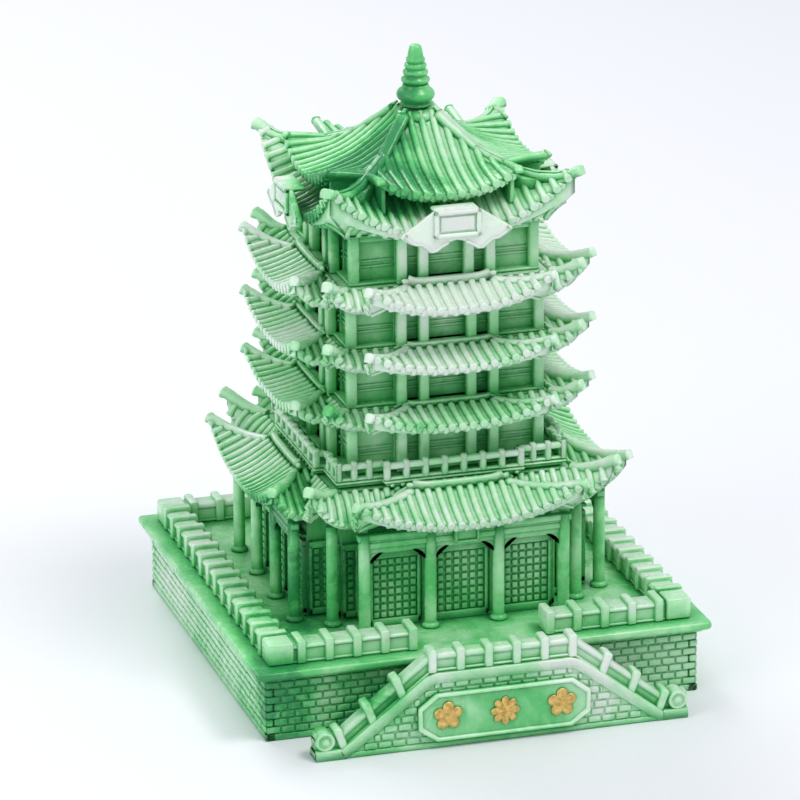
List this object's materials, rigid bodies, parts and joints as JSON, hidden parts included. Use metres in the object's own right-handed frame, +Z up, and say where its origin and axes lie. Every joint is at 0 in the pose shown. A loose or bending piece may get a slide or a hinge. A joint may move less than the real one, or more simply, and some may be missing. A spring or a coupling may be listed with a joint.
{
  "type": "tabletop tower souvenir",
  "caption": "Tabletop model of a tiered Chinese tower on a walled brick terrace with a double front stair, moulded in marbled imitation jade.",
  "frame": {"origin": "under the tower's middle, on the underside of the base plate, which is the resting surface", "axes": "+Z up the tower to the finial, -Y towards the stair and plaque at the front, +X to the right as seen from the front"},
  "size_m": [0.105, 0.1182, 0.1404],
  "materials": {
    "jade_plinth": "gloss",
    "jade_green": "gloss",
    "jade_rail": "gloss",
    "jade_roof": "gloss",
    "jade_pale": "gloss",
    "jade_deep": "gloss",
    "gold_paint": "satin"
  },
  "bodies": {
    "root": {"balcony_deck": "jade_rail", "balcony_railing_front": "jade_rail", "balcony_railing_left": "jade_rail", "balcony_railing_rear": "jade_rail", "balcony_railing_right": "jade_rail", "base_plate": "jade_plinth", "finial_bulb": "jade_deep", "finial_spire": "jade_deep", "gable_board_front": "jade_pale", "gable_board_left": "jade_pale", "gable_board_rear": "jade_pale", "gable_board_right": "jade_pale", "gold_emblem_centre": "gold_paint", "gold_emblem_left": "gold_paint", "gold_emblem_right": "gold_paint", "hall_colonnade_front": "jade_green", "hall_colonnade_left": "jade_green", "hall_colonnade_rear": "jade_green", "hall_colonnade_right": "jade_green", "hall_core": "jade_green", "hall_corner_column_front_left": "jade_green", "hall_corner_column_front_right": "jade_green", "hall_corner_column_rear_left": "jade_green", "hall_corner_column_rear_right": "jade_green", "hall_tablet": "jade_green", "parapet_front_left": "jade_rail", "parapet_front_right": "jade_rail", "parapet_left": "jade_rail", "parapet_rear": "jade_rail", "parapet_right": "jade_rail", "plaque_frame": "jade_rail", "plaque_panel": "jade_green", "plinth_wall": "jade_plinth", "roof_1": "jade_roof", "roof_2": "jade_roof", "roof_3": "jade_roof", "roof_4": "jade_pale", "stair_balustrade": "jade_rail", "stair_core": "jade_plinth", "stair_front_wall": "jade_plinth", "storey_2": "jade_green", "storey_3": "jade_green", "storey_4": "jade_green", "storey_5": "jade_green", "terrace_slab": "jade_green", "top_roof_pyramid": "jade_deep", "top_roof_skirt": "jade_pale"}
  },
  "joints": []
}
